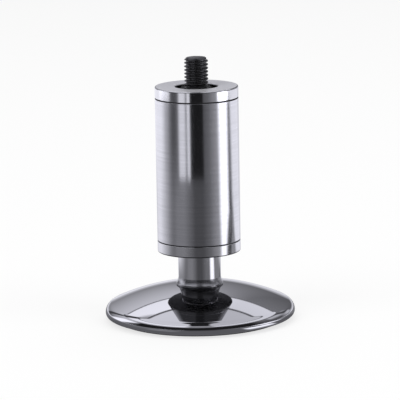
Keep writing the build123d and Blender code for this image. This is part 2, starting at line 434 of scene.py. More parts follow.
RUBBER = Finish(
    "moulded_black_rubber", (0.025, 0.025, 0.027), metallic=0.0, roughness=(0.62, 0.80),
    grain=(1600.0, 1600.0, 1600.0), grain_depth=1.5e-5, shade=0.3, specular=0.35,
)


@dataclass(frozen=True)
class Corner:
    """A corner of a turned outline.

    Attributes:
        radius: Distance from the axis, in metres.
        height: Height above the floor, in metres.
        blend: Radius of its rounding, 0 for a sharp corner.
        finish: Number of the finish of the stretch that follows, 0 for the piece's main one.
    """

    radius: float
    height: float
    blend: float = 0.0
    finish: int = 0


class Outline:
    """The half-section of a turned piece, worked out from its corners.

    Attributes:
        ARC_STEPS: Into how many runs the rounding of a corner is cut.
        SUPPORT: Distance of the support points from the ends of a run.
        LEAST_RUN: Length from which a run gets support points.
        points: Distance from the axis and height of each point.
        finishes: Number of the finish of the run after each point.
    """

    ARC_STEPS = 7
    SUPPORT = 0.06 * MM
    LEAST_RUN = 0.55 * MM

    def __init__(self, corners: Sequence[Corner]) -> None:
        """Round the corners, come back to the first one and keep the points.

        Args:
            corners: The corners in order, anticlockwise with the axis on the left.
        """
        self.points: list[Pair] = []
        self.finishes: list[int] = []
        for number, corner in enumerate(corners):
            self.add_corner(corners[number - 1], corner, corners[(number + 1) % len(corners)])
        self.points.append(self.points[0])
        self.finishes.append(self.finishes[0])
        self.support_long_runs()

    def add_corner(self, before: Corner, corner: Corner, after: Corner) -> None:
        """Add one corner, as a point or as an arc.

        Args:
            before: The corner before it.
            corner: The corner itself.
            after: The corner after it.
        """
        if not corner.blend:
            self.points.append((corner.radius, corner.height))
            self.finishes.append(corner.finish)
            return
        come = self.direction(corner, before)
        go = self.direction(corner, after)
        cosine = come[0] * go[0] + come[1] * go[1]
        half = math.acos(max(-1.0, min(1.0, cosine))) / 2
        reach = corner.blend / math.tan(half)
        middle = (come[0] + go[0], come[1] + go[1])
        length = math.hypot(*middle)
        far = corner.blend / math.sin(half) / length
        centre = (corner.radius + middle[0] * far, corner.height + middle[1] * far)
        start = (corner.radius + come[0] * reach, corner.height + come[1] * reach)
        first = math.atan2(start[1] - centre[1], start[0] - centre[0])
        sweep = math.pi - 2 * half
        side = come[0] * go[1] - come[1] * go[0]
        turn = sweep if side < 0 else -sweep
        for step in range(self.ARC_STEPS + 1):
            angle = first + turn * step / self.ARC_STEPS
            across = centre[0] + corner.blend * math.cos(angle)
            self.points.append((across, centre[1] + corner.blend * math.sin(angle)))
            self.finishes.append(corner.finish if step == self.ARC_STEPS else before.finish)

    @staticmethod
    def direction(start: Corner, end: Corner) -> Pair:
        """Unit vector from one corner to another.

        Args:
            start: Where it starts.
            end: Where it points.

        Returns:
            Its parts along the radius and up.
        """
        across = end.radius - start.radius
        up = end.height - start.height
        length = math.hypot(across, up)
        return across / length, up / length

    def support_long_runs(self) -> None:
        """Add a point near each end of a long run, which keeps its shading flat."""
        points: list[Pair] = []
        finishes: list[int] = []
        for number, start in enumerate(self.points[:-1]):
            end = self.points[number + 1]
            run = math.dist(start, end)
            points.append(start)
            finishes.append(self.finishes[number])
            if run > self.LEAST_RUN:
                for share in (self.SUPPORT / run, 1.0 - self.SUPPORT / run):
                    across = start[0] + (end[0] - start[0]) * share
                    up = start[1] + (end[1] - start[1]) * share
                    points.append((across, up))
                    finishes.append(self.finishes[number])
        points.append(self.points[-1])
        finishes.append(self.finishes[-1])
        self.points = points
        self.finishes = finishes


class GeometryTree:
    """A Geometry Nodes tree with named inputs, run once on an object and turned into a mesh."""

    def __init__(self, title: str, inputs: dict[str, str]) -> None:
        """Open the tree.

        Args:
            title: Name of the tree.
            inputs: Socket type of each named input, in order.
        """
        self.tree = bpy.data.node_groups.new(title, "GeometryNodeTree")
        interface = self.tree.interface
        interface.new_socket("Geometry", in_out="INPUT", socket_type="NodeSocketGeometry")
        self.identifiers: dict[str, str] = {}
        for name, kind in inputs.items():
            socket = interface.new_socket(name, in_out="INPUT", socket_type=kind)
            self.identifiers[name] = socket.identifier
        interface.new_socket("Geometry", in_out="OUTPUT", socket_type="NodeSocketGeometry")
        self.writer = NodeWriter(self.tree)
        self.entry = self.writer.add("NodeGroupInput")
        self.exit = self.writer.add("NodeGroupOutput")

    def given(self, name: str) -> Socket:
        """Socket of a named input."""
        return self.entry.outputs[name]

    def finish(self, geometry: Socket, others: Sequence[tuple[str, Socket]] = ()) -> None:
        """Close the tree with Realize Instances and Set Material.

        Args:
            geometry: The geometry to put out, which takes the input Material.
            others: Names of further material inputs, each with the faces that take it.
        """
        real = self.writer.add("GeometryNodeRealizeInstances", {"Geometry": geometry})
        painted = self.writer.add(
            "GeometryNodeSetMaterial",
            {"Geometry": real.outputs[0], "Material": self.given("Material")},
        )
        for name, chosen in others:
            painted = self.writer.add(
                "GeometryNodeSetMaterial",
                {"Geometry": painted.outputs[0], "Selection": chosen, "Material": self.given(name)},
            )
        self.writer.feed(self.exit.inputs[0], painted.outputs[0])

    def run(self, name: str, start: bpy.types.Mesh, values: dict[str, object]) -> Object:
        """Run the tree on a start mesh and keep the result as a plain mesh object.

        Args:
            name: Name of the new piece.
            start: The mesh that the tree starts from.
            values: A value for each named input.

        Returns:
            The new object, linked into the scene.
        """
        carrier = bpy.data.objects.new(name + "_start", start)
        bpy.context.scene.collection.objects.link(carrier)
        modifier = carrier.modifiers.new("shape", "NODES")
        modifier.node_group = self.tree
        for key, value in values.items():
            modifier[self.identifiers[key]] = value
        carrier.update_tag()
        graph = bpy.context.evaluated_depsgraph_get()
        graph.update()
        mesh = bpy.data.meshes.new_from_object(carrier.evaluated_get(graph), depsgraph=graph)
        carrier.modifiers.remove(modifier)
        bpy.data.objects.remove(carrier)
        mesh.name = name
        piece = bpy.data.objects.new(name, mesh)
        bpy.context.scene.collection.objects.link(piece)
        return piece


class ShellTree(GeometryTree):
    """Wraps a grid round the Z axis into a closed shell: rows along the section, columns round it."""

    def open_grid(self, rows: Socket) -> tuple[Socket, Socket, Socket, Socket]:
        """Add the grid.

        Args:
            rows: How many points the section has.

        Returns:
            The grid, and the index, row and share of a turn of each of its points.
        """
        writer = self.writer
        columns = writer.math("ADD", self.given("Segments"), 1.0)
        grid = writer.add("GeometryNodeMeshGrid", {"Vertices X": columns, "Vertices Y": rows})
        index = writer.add("GeometryNodeInputIndex").outputs[0]
        row = writer.math("MODULO", index, rows)
        column = writer.math("FLOOR", writer.math("DIVIDE", index, rows))
        whole = writer.math("DIVIDE", column, self.given("Segments"))
        return grid.outputs[0], index, row, whole

    def wrap(self, grid: Socket, whole: Socket, radius: Socket, height: Socket) -> Socket:
        """Move the grid's points to their places round the axis.

        Args:
            grid: The grid.
            whole: Share of a turn of each point.
            radius: Its distance from the axis.
            height: Its height.

        Returns:
            The shell, still open along the seam.
        """
        writer = self.writer
        angle = writer.math("MULTIPLY", whole, 2 * math.pi)
        across = writer.math("MULTIPLY", radius, writer.math("COSINE", angle))
        along = writer.math("MULTIPLY", radius, writer.math("SINE", angle))
        place = writer.add("ShaderNodeCombineXYZ", {0: across, 1: along, 2: height}).outputs[0]
        shell = writer.add("GeometryNodeSetPosition", {"Geometry": grid, "Position": place})
        return shell.outputs[0]

    def close(self, shell: Socket, others: Sequence[tuple[str, Socket]] = ()) -> None:
        """Merge the shell's seam and poles, and finish the tree.

        Args:
            shell: The open shell.
            others: Names of further material inputs, each with the faces that take it.
        """
        inputs = {"Geometry": shell, "Distance": MERGE_DISTANCE}
        self.finish(self.writer.add("GeometryNodeMergeByDistance", inputs).outputs[0], others)


class LatheTree(ShellTree):
    """Turns an outline of points about the Z axis into a closed, smooth shell."""

    def __init__(self) -> None:
        """Write the tree: a grid whose rows sample the outline and its finishes."""
        kinds = {
            "Segments": "NodeSocketInt",
            "Outline Points": "NodeSocketInt",
            "Material": "NodeSocketMaterial",
            "Second Material": "NodeSocketMaterial",
            "Third Material": "NodeSocketMaterial",
        }
        super().__init__("lathe_shell", kinds)
        writer = self.writer
        rows = self.given("Outline Points")
        grid, index, row, whole = self.open_grid(rows)
        place = writer.add("GeometryNodeInputPosition").outputs[0]
        parts = writer.add("ShaderNodeSeparateXYZ", {0: self.sample(place, row, "FLOAT_VECTOR")}).outputs
        shell = self.wrap(grid, whole, parts[0], parts[2])
        face_row = writer.math("MODULO", index, writer.math("SUBTRACT", rows, 1.0))
        chosen = self.sample(self.named("finish"), face_row, "FLOAT")
        kept = writer.add(
            "GeometryNodeStoreNamedAttribute",
            {"Geometry": shell, "Name": "face_finish", "Value": chosen},
            data_type="FLOAT",
            domain="FACE",
        )
        number = self.named("face_finish")
        # A face takes the second finish from number 1 on, and the third from number 2 on.
        others = (
            ("Second Material", writer.math("GREATER_THAN", number, 0.5)),
            ("Third Material", writer.math("GREATER_THAN", number, 1.5)),
        )
        self.close(kept.outputs[0], others)

    def named(self, name: str) -> Socket:
        """Read a named number of the geometry."""
        kind = "GeometryNodeInputNamedAttribute"
        return self.writer.add(kind, {"Name": name}, data_type="FLOAT").outputs[0]

    def sample(self, value: Socket, index: Socket, kind: str) -> Socket:
        """Read a value at one of the outline's points.

        Args:
            value: The value on the outline.
            index: The point's number.
            kind: Blender's name of the value's type.

        Returns:
            The value's socket.
        """
        inputs = {"Geometry": self.given("Geometry"), "Index": index}
        node = self.writer.add("GeometryNodeSampleIndex", inputs, data_type=kind, domain="POINT")
        self.writer.feed(node.inputs["Value"], value)
        return node.outputs[0]

    def turn(self, name: str, outline: Outline, finishes: Sequence[Finish], segments: int) -> Object:
        """Turn one piece.

        Args:
            name: Name of the piece.
            outline: Its half-section.
            finishes: Up to three finishes, by the numbers in the outline.
            segments: How many facets go round it.

        Returns:
            The piece, smooth and closed.
        """
        start = bpy.data.meshes.new(name + "_outline")
        start.from_pydata([(x, 0.0, z) for x, z in outline.points], [], [])
        marks = start.attributes.new("finish", "FLOAT", "POINT")
        marks.data.foreach_set("value", [float(number) for number in outline.finishes])
        materials = [finish.material() for finish in finishes]
        values = {
            "Segments": segments,
            "Outline Points": len(outline.points),
            "Material": materials[0],
            "Second Material": materials[min(1, len(materials) - 1)],
            "Third Material": materials[-1],
        }
        return outward(self.run(name, start, values))


class ThreadTree(ShellTree):
    """Cuts a 60 degree screw thread into a stud that stands on the Z axis.

    Attributes:
        FLANK: Where a flank starts and ends, as shares of half a pitch from root to crest.
    """

    FLANK = (0.22, 0.84)

    def __init__(self) -> None:
        """Write the tree: a grid wrapped round the axis, its radius set by the helix."""
        radii = ("Major Radius", "Root Radius", "Shank Radius", "Tip Radius")
        lengths = (*radii, "Pitch", "Bottom", "Shoulder", "Top")
        kinds = {"Segments": "NodeSocketInt", "Rows": "NodeSocketInt"}
        kinds.update({name: "NodeSocketFloat" for name in lengths})
        kinds["Material"] = "NodeSocketMaterial"
        super().__init__("screw_thread", kinds)
        writer = self.writer
        rows = self.given("Rows")
        grid, _, row, whole = self.open_grid(rows)
        inner_row = writer.math("MAXIMUM", writer.math("SUBTRACT", row, 1.0), 0.0)
        # The first and the last row close the ends on the axis, and don't count for the height.
        last_row = writer.math("SUBTRACT", rows, 3.0)
        share = writer.math("MINIMUM", writer.math("DIVIDE", inner_row, last_row), 1.0)
        span = writer.math("SUBTRACT", self.given("Top"), self.given("Bottom"))
        height = writer.math("MULTIPLY_ADD", share, span, self.given("Bottom"))
        radius = self.flank(height, whole)
        above = writer.math("GREATER_THAN", height, self.given("Shoulder"))
        shank = writer.math("MULTIPLY", self.given("Shank Radius"), writer.math("SUBTRACT", 1.0, above))
        radius = writer.math("MULTIPLY_ADD", radius, above, shank)
        to_top = writer.math("SUBTRACT", self.given("Top"), height)
        radius = writer.math("MINIMUM", radius, writer.math("ADD", self.given("Tip Radius"), to_top))
        inside = writer.math(
            "MULTIPLY",
            writer.math("GREATER_THAN", row, 0.5),
            writer.math("LESS_THAN", row, writer.math("SUBTRACT", rows, 1.5)),
        )
        self.close(self.wrap(grid, whole, writer.math("MULTIPLY", radius, inside), height))

    def flank(self, height: Socket, whole: Socket) -> Socket:
        """Radius of the thread at a height and a share of a turn.

        Args:
            height: Height above the floor.
            whole: Share of a turn round the axis.

        Returns:
            The radius between root and crest.
        """
        writer = self.writer
        turns = writer.math("DIVIDE", height, self.given("Pitch"))
        phase = writer.math("FRACT", writer.math("SUBTRACT", turns, whole))
        tooth = writer.math("ABSOLUTE", writer.math("MULTIPLY_ADD", phase, 2.0, -1.0))
        flank = writer.remap(tooth, self.FLANK, RISE, smooth=True)
        depth = writer.math("SUBTRACT", self.given("Major Radius"), self.given("Root Radius"))
        return writer.math("MULTIPLY_ADD", flank, depth, self.given("Root Radius"))


class SpokeTree(GeometryTree):
    """Repeats one upright web at even steps round the Z axis."""

    def __init__(self) -> None:
        """Write the tree: points on the axis, each with a turned copy of the start mesh."""
        kinds = {
            "Count": "NodeSocketInt",
            "First Turn": "NodeSocketFloat",
            "Material": "NodeSocketMaterial",
        }
        super().__init__("cast_spokes", kinds)
        writer = self.writer
        line = writer.add(
            "GeometryNodeMeshLine", {"Count": self.given("Count"), "Offset": (0.0, 0.0, 0.0)}
        )
        index = writer.add("GeometryNodeInputIndex").outputs[0]
        share = writer.math("DIVIDE", index, self.given("Count"))
        angle = writer.math("MULTIPLY_ADD", share, 2 * math.pi, self.given("First Turn"))
        turn = writer.add("ShaderNodeCombineXYZ", {2: angle}).outputs[0]
        copies = writer.add(
            "GeometryNodeInstanceOnPoints",
            {"Points": line.outputs[0], "Instance": self.given("Geometry"), "Rotation": turn},
        )
        self.finish(copies.outputs[0])


def outward(piece: Object) -> Object:
    """Merge a shell's doubles, point its faces outwards and shade it smooth.

    Args:
        piece: A mesh object with a closed shell.

    Returns:
        The same object.
    """
    shell = bmesh.new()
    shell.from_mesh(piece.data)
    bmesh.ops.remove_doubles(shell, verts=shell.verts, dist=MERGE_DISTANCE)
    bmesh.ops.recalc_face_normals(shell, faces=shell.faces)
    if shell.calc_volume(signed=True) < 0:
        bmesh.ops.reverse_faces(shell, faces=shell.faces)
    shell.to_mesh(piece.data)
    shell.free()
    piece.data.shade_smooth()
    piece.data.update()
    return piece


def inner_radius(node: str) -> float:
    """Smallest distance of a frame node's surface from the axis, in metres."""
    return min(math.hypot(v.co.x, v.co.y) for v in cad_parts[node].data.vertices)


@dataclass
class SubAssembly:
    """Pieces that ride on one body, most of them turned on a lathe.

    Attributes:
        lathe: The tree that turns outlines.
        body: The body that carries the pieces.
    """

    lathe: LatheTree
    body: Body

    def turned(
        self,
        name: str,
        slot: Slot,
        node: str,
        corners: list[Corner],
        *finishes: Finish,
        segments: int = 256,
    ) -> Object:
        """Turn one piece and settle it.

        Args:
            name: Name of the piece.
            slot: The record's slot of its finish.
            node: The frame node that it replaces.
            corners: Corners of its half-section.
            *finishes: Up to three finishes, by the numbers in the corners.
            segments: How many facets go round it.

        Returns:
            The settled piece.
        """
        piece = self.lathe.turn(name, Outline(corners), finishes, segments)
        return self.settle(piece, slot, node)

    def settle(self, piece: Object, slot: Slot, node: str) -> Object:
        """Let a piece ride on the body and stand for its frame node.

        Args:
            piece: The finished piece.
            slot: The record's slot of its finish; not used.
            node: The frame node that it replaces.

        Returns:
            The same object.
        """
        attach(piece, self.body.value)
        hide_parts(node)
        return piece


@dataclass
class Column(SubAssembly):
    """The leg's body: satin sleeve, polished end rings, plug and stud.

    Attributes:
        thread: The tree that cuts threads.
        ring_edge: Rounding of the rings' outer edges.
        seam_width: Height of the shadow line between a ring and the sleeve.
        seam_depth: How far that line steps in.
        seam_edge: Rounding of the edges beside it.
        hole_edge: Rounding of the top hole's rim.
        pitch: Pitch of the stud's thread.
        thread_depth: Depth of the thread.
        stud_root_step: How far the plain root is under the thread's size.
        stud_relief: How far the root stands out of the boss.
        stud_chamfer: Height of the bevel at the stud's tip.
        boss_radius: Outer radius of the boss round the stud.
        boss_edge: Rounding of the boss's rim.
        boss_foot: Rounding at the boss's foot.
        lip_height: Height of the lip at the bottom ring's mouth.
        lip_edge: Rounding of the lip's rim.
        play: Gap between a ring and the piece that it takes.
        bush_flange: How far the guide bush's flange stands out of its body.
        thread_segments: How many facets go round the thread.
        thread_rows: How many rows of points the thread has.
    """

    thread: ThreadTree
    ring_edge: float = 0.5 * MM
    seam_width: float = 0.4 * MM
    seam_depth: float = 0.35 * MM
    seam_edge: float = 0.15 * MM
    hole_edge: float = 0.5 * MM
    pitch: float = 1.5 * MM
    thread_depth: float = 0.78 * MM
    stud_root_step: float = 0.3 * MM
    stud_relief: float = 0.6 * MM
    stud_chamfer: float = 1.0 * MM
    boss_radius: float = 6.5 * MM
    boss_edge: float = 0.4 * MM
    boss_foot: float = 0.3 * MM
    lip_height: float = 0.8 * MM
    lip_edge: float = 0.15 * MM
    play: float = 0.05 * MM
    bush_flange: float = 2.0 * MM
    thread_segments: int = 96
    thread_rows: int = 400

    def build(self) -> list[Object]:
        """Make and settle every visible piece of the body."""
        return [self.sleeve(), self.top_ring(), self.bottom_ring(), self.plug(), self.stud()]

    def sleeve(self) -> Object:
        """Turn the satin sleeve.

        Returns:
            The sleeve.
        """
        low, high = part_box("sleeve")
        bore = inner_radius("sleeve")
        outside = high.x
        corners = [
            Corner(bore, low.z),
            Corner(outside, low.z, self.seam_edge),
            Corner(outside, high.z, self.seam_edge),
            Corner(bore, high.z),
        ]
        return self.turned("satin_sleeve", Slot.SATIN, "sleeve", corners, SATIN_SLEEVE)

    def top_ring(self) -> Object:
        """Turn the top ring, with its satin face and its hole.

        Returns:
            The ring.
        """
        low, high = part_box("top_ring")
        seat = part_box("sleeve")[1].z
        outside = high.x
        step = outside - self.seam_depth
        spigot = inner_radius("sleeve") - self.play
        hole = inner_radius("top_ring")
        corners = [
            Corner(hole, low.z),
            Corner(spigot, low.z),
            Corner(spigot, seat, finish=2),
            Corner(step, seat, finish=2),
            Corner(step, seat + self.seam_width, finish=2),
            Corner(outside, seat + self.seam_width, self.seam_edge),
            Corner(outside, high.z, self.ring_edge, finish=1),
            Corner(hole, high.z, self.hole_edge),
        ]
        finishes = (POLISHED_CHROME, TURNED_FACE, SEAM_SHADOW)
        return self.turned("top_ring_turned", Slot.CHROME, "top_ring", corners, *finishes)

    def bottom_ring(self) -> Object:
        """Turn the bottom ring, with the lip around the neck.

        Returns:
            The ring.
        """
        low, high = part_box("bottom_ring")
        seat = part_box("sleeve")[0].z
        outside = high.x
        step = outside - self.seam_depth
        spigot = inner_radius("sleeve") - self.play
        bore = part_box("guide_bush")[1].x - self.bush_flange + self.play
        lip = inner_radius("bottom_ring")
        corners = [
            # The lip and the ring's underside take the second finish, which is painted shade.
            Corner(lip, low.z, self.lip_edge, finish=1),
            Corner(outside, low.z, self.ring_edge),
            Corner(outside, seat - self.seam_width, self.seam_edge, finish=2),
            Corner(step, seat - self.seam_width, finish=2),
            Corner(step, seat, finish=2),
            Corner(spigot, seat),
            Corner(spigot, high.z),
            Corner(bore, high.z),
            Corner(bore, low.z + self.lip_height),
            Corner(lip, low.z + self.lip_height),
        ]
        finishes = (POLISHED_CHROME, PAINTED_SHADE_UNDER_FACE, SEAM_SHADOW)
        return self.turned("bottom_ring_turned", Slot.CHROME, "bottom_ring", corners, *finishes)

    def plug(self) -> Object:
        """Turn the plug whose boss stands in the top hole.

        Returns:
            The plug.
        """
        low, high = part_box("stud_insert")
        outside = high.x
        bore = inner_radius("stud_insert")
        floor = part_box("top_ring")[0].z
        corners = [
            Corner(bore, low.z),
            Corner(outside, low.z, self.boss_edge),
            Corner(outside, floor),
            Corner(self.boss_radius, floor, self.boss_foot),
            Corner(self.boss_radius, high.z, self.boss_edge),
            Corner(bore, high.z),
        ]
        return self.turned("stud_plug", Slot.TURNED, "stud_insert", corners, TURNED_STEEL)

    def stud(self) -> Object:
        """Cut the threaded stud.

        Returns:
            The stud.
        """
        low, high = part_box("stud")
        major = high.x
        values = {
            "Segments": self.thread_segments,
            "Rows": self.thread_rows,
            "Major Radius": major,
            "Root Radius": major - self.thread_depth,
            "Shank Radius": major - self.stud_root_step,
            "Pitch": self.pitch,
            "Bottom": low.z,
            "Shoulder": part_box("stud_insert")[1].z + self.stud_relief,
            "Top": high.z,
            "Tip Radius": major - self.stud_chamfer,
            "Material": BLACK_OXIDE.material(),
        }
        piece = self.thread.run("threaded_stud", bpy.data.meshes.new("stud_start"), values)
        return self.settle(outward(piece), Slot.BLACK, "stud")


@dataclass
class Pedestal(SubAssembly):
    """The foot's lower half: the neck, the cast dome with its ribs, and the floor ring.

    Attributes:
        spokes: The tree that repeats the ribs.
        neck_radius: Radius of the straight neck.
        neck_foot_height: Height of the neck's widest stretch.
        neck_foot_blend: Height over which the flare runs out.
        neck_foot_edge: Rounding of the neck's lowest edge.
        neck_chamfer: Bevel at the neck's top.
        flare_steps: Into how many runs the flare is cut.
        edge_height: Height at which the dome's sphere would meet the edge.
        edge_blend: Rounding between sphere and edge.
        lip_width: How far the lip tucks in under the edge.
        lip_rise: How far the lip rises over that width.
        lip_blend: Rounding between the lip and the edge.
        seat_radius: Radius of the flat seat under the neck.
        wall: Thickness of the dome's shell.
        skirt_width: Width of the solid skirt.
        boss_radius: Radius of the screw boss.
        boss_rise: Height of the boss's end above the floor.
        bore_radius: Radius of the counterbore.
        bore_depth: Depth of the counterbore.
        hole_radius: Radius of the screw's hole.
        underside_blend: Rounding of the hollow's corners.
        rim_edge: Rounding of the edges at the floor and at the counterbore.
        boss_edge: Rounding of the boss's outer edge.
        blend_room: Room left at each end of the hollow's arc for the rounding.
        hollow_steps: Into how many runs the hollow's arc is cut.
        shoulder_steps: Into how many runs the rounding above the edge is cut.
        crown_steps: Into how many runs the sphere is cut.
        segments: How many facets go round the dome.
        ring_inset: Distance of the floor ring's groove from the edge.
        ring_width: Width of that groove.
        ring_top: Height of the groove's roof.
        rib_count: Number of ribs.
        rib_thickness: Thickness of a rib.
        rib_rise: Height of a rib's lower edge.
        rib_overlap: How far a rib's ends run into the boss and the skirt.
        rib_steps: Into how many runs a rib's top is cut.
        ring_edge: Rounding of the floor ring's lower edges.
        ring_segments: How many facets go round the floor ring.
    """

    spokes: SpokeTree
    neck_radius: float = 9.0 * MM
    neck_foot_height: float = 0.8 * MM
    neck_foot_blend: float = 2.6 * MM
    neck_foot_edge: float = 0.12 * MM
    neck_chamfer: float = 0.8 * MM
    flare_steps: int = 14
    edge_height: float = 5.7 * MM
    edge_blend: float = 4.0 * MM
    lip_width: float = 3.4 * MM
    lip_rise: float = 1.2 * MM
    lip_blend: float = 1.8 * MM
    seat_radius: float = 10.2 * MM
    wall: float = 2.4 * MM
    skirt_width: float = 9.0 * MM
    boss_radius: float = 10.75 * MM
    boss_rise: float = 2.0 * MM
    bore_radius: float = 7.75 * MM
    bore_depth: float = 6.0 * MM
    hole_radius: float = 4.4 * MM
    underside_blend: float = 1.6 * MM
    rim_edge: float = 0.2 * MM
    boss_edge: float = 0.3 * MM
    blend_room: float = 2.0 * MM
    hollow_steps: int = 36
    shoulder_steps: int = 40
    crown_steps: int = 96
    segments: int = 288
    ring_inset: float = 4.4 * MM
    ring_width: float = 3.2 * MM
    ring_top: float = 1.6 * MM
    rib_count: int = 4
    rib_thickness: float = 1.8 * MM
    rib_rise: float = 2.2 * MM
    rib_overlap: float = 0.4 * MM
    rib_steps: int = 16
    ring_edge: float = 0.3 * MM
    ring_segments: int = 192

    def build(self) -> list[Object]:
        """Make and settle every visible piece of the lower half."""
        return [self.neck(), self.dome(), self.ribs(), self.ring()]

    def neck(self) -> Object:
        """Turn the neck with its flared foot.

        Returns:
            The neck.
        """
        low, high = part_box("neck")
        flare = high.x
        flare_top = low.z + self.neck_foot_height
        run_out = flare_top + self.neck_foot_blend
        width = flare - self.neck_radius
        blend = (self.neck_foot_blend**2 + width**2) / (2 * width)
        corners = [
            # The foot's underside, its edge and the flare take the second finish, which is painted
            # shade.
            Corner(0.0, low.z, finish=1),
            Corner(flare, low.z, self.neck_foot_edge, finish=1),
            Corner(flare, flare_top, finish=1),
        ]
        steps = self.flare_steps
        reach = math.asin(self.neck_foot_blend / blend)
        for step in range(1, steps + 1):
            angle = reach * (1 - step / steps)
            radius = self.neck_radius + blend * (1 - math.cos(angle))
            shaded = int(step < steps)
            corners.append(Corner(radius, run_out - blend * math.sin(angle), finish=shaded))
        corners.append(Corner(self.neck_radius, high.z, self.neck_chamfer))
        corners.append(Corner(0.0, high.z))
        return self.turned("neck_turned", Slot.CHROME, "neck", corners, POLISHED_CHROME, PAINTED_SHADE_FLARE)

    def sphere(self) -> Pair:
        """Work out the dome's sphere.

        Returns:
            Its radius and the height of its centre.
        """
        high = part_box("base_dome")[1]
        rise = high.z - self.edge_height
        drop = (high.x**2 - self.seat_radius**2 - rise**2) / (2 * rise)
        return math.hypot(high.x, drop), self.edge_height - drop

    def dome_arc(self, start: float, end: float, depth: float, steps: int) -> list[Corner]:
        """Points of the sphere between two distances from the axis, both left out.

        Args:
            start: Distance where the stretch starts.
            end: Distance where it ends.
            depth: How far inside the outer sphere it lies.
            steps: Into how many runs it is cut.

        Returns:
            The points as corners.
        """
        ball, centre = self.sphere()
        first = math.asin(start / (ball - depth))
        last = math.asin(end / (ball - depth))
        made = []
        for step in range(1, steps):
            angle = first + (last - first) * step / steps
            radius = (ball - depth) * math.sin(angle)
            made.append(Corner(radius, centre + (ball - depth) * math.cos(angle), finish=int(depth > 0)))
        return made

    def shoulder(self) -> tuple[float, float, float]:
        """Work out the rounding between sphere and edge.

        Returns:
            Its centre's distance from the axis and height, and its turn from the axis at the sphere.
        """
        ball, centre = self.sphere()
        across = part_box("base_dome")[1].x - self.edge_blend
        up = math.sqrt((ball - self.edge_blend) ** 2 - across**2)
        return across, centre + up, math.atan2(across, up)

    def shoulder_end(self) -> float:
        """Distance from the axis at which the rounding runs into the sphere."""
        across, _, turn = self.shoulder()
        return across + self.edge_blend * math.sin(turn)

    def shoulder_arc(self, steps: int) -> list[Corner]:
        """Points of the rounding between edge and sphere, both ends with it.

        Args:
            steps: Into how many runs it is cut.

        Returns:
            The points as corners, from the edge up.
        """
        across, height, turn = self.shoulder()
        made = []
        for step in range(steps + 1):
            angle = math.pi / 2 + (turn - math.pi / 2) * step / steps
            radius = across + self.edge_blend * math.sin(angle)
            made.append(Corner(radius, height + self.edge_blend * math.cos(angle)))
        return made

    def dome_corner(self, radius: float, depth: float, blend: float = 0.0) -> Corner:
        """Find a corner on the sphere, or on the shell inside it.

        Args:
            radius: Its distance from the axis.
            depth: How far inside the outer sphere it lies.
            blend: Radius of its rounding.

        Returns:
            The corner.
        """
        ball, centre = self.sphere()
        height = centre + math.sqrt((ball - depth) ** 2 - radius**2)
        return Corner(radius, height, blend, finish=int(depth > 0))

    def dome(self) -> Object:
        """Turn the mirror dome with its hollow underside.

        Returns:
            The dome.
        """
        low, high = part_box("base_dome")
        edge = high.x
        groove_out = edge - self.ring_inset
        groove_in = groove_out - self.ring_width
        hollow = edge - self.skirt_width
        lip_foot = edge - self.lip_width
        bore_roof = self.boss_rise + self.bore_depth
        inner_end = self.boss_radius + self.blend_room
        corners = [
            Corner(self.hole_radius, high.z),
            Corner(self.hole_radius, bore_roof, finish=1),
            Corner(self.bore_radius, bore_roof, finish=1),
            Corner(self.bore_radius, self.boss_rise, self.rim_edge, finish=1),
            Corner(self.boss_radius, self.boss_rise, self.boss_edge, finish=1),
            self.dome_corner(self.boss_radius, self.wall, self.underside_blend),
            *self.dome_arc(inner_end, hollow - self.blend_room, self.wall, self.hollow_steps),
            self.dome_corner(hollow, self.wall, self.underside_blend),
            Corner(hollow, low.z, self.rim_edge, finish=1),
            Corner(groove_in, low.z, finish=1),
            Corner(groove_in, self.ring_top, finish=1),
            Corner(groove_out, self.ring_top, finish=1),
            Corner(groove_out, low.z),
            Corner(lip_foot, low.z, self.rim_edge),
            Corner(edge, low.z + self.lip_rise, self.lip_blend),
            *self.shoulder_arc(self.shoulder_steps),
            *self.dome_arc(self.shoulder_end(), self.seat_radius, 0.0, self.crown_steps),
            self.dome_corner(self.seat_radius, 0.0),
        ]
        finishes = (MIRROR_CHROME, CAST_SKIN)
        return self.turned(
            "mirror_dome", Slot.MIRROR, "base_dome", corners, *finishes, segments=self.segments
        )

    def ribs(self) -> Object:
        """Repeat the ribs that tie the skirt to the boss.

        Returns:
            The ribs, as one object.
        """
        ball, centre = self.sphere()
        start = self.boss_radius - self.rib_overlap
        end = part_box("base_dome")[1].x - self.skirt_width + self.rib_overlap
        top = ball - self.wall / 2
        half = self.rib_thickness / 2
        outline = [(start, self.rib_rise), (end, self.rib_rise)]
        for step in range(self.rib_steps + 1):
            radius = end + (start - end) * step / self.rib_steps
            outline.append((radius, centre + math.sqrt(top**2 - radius**2)))
        near = [(r, -half, z) for r, z in outline]
        far = [(r, half, z) for r, z in outline]
        count = len(outline)
        faces = [tuple(range(count)), tuple(reversed(range(count, 2 * count)))]
        for number in range(count):
            following = (number + 1) % count
            faces.append((following, number, number + count, following + count))
        web = bpy.data.meshes.new("rib_web")
        web.from_pydata(near + far, [], faces)
        values = {
            "Count": self.rib_count,
            "First Turn": math.pi / self.rib_count,
            "Material": CAST_SKIN.material(),
        }
        piece = outward(self.spokes.run("dome_ribs", web, values))
        piece.data.shade_flat()
        return self.settle(piece, Slot.MIRROR, "base_dome")

    def ring(self) -> Object:
        """Turn the rubber ring under the skirt.

        Returns:
            The ring.
        """
        low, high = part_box("floor_ring")
        inside = inner_radius("floor_ring")
        corners = [
            Corner(inside, low.z, self.ring_edge),
            Corner(high.x, low.z, self.ring_edge),
            Corner(high.x, high.z),
            Corner(inside, high.z),
        ]
        return self.turned(
            "rubber_floor_ring", Slot.RUBBER, "floor_ring", corners, RUBBER, segments=self.ring_segments
        )


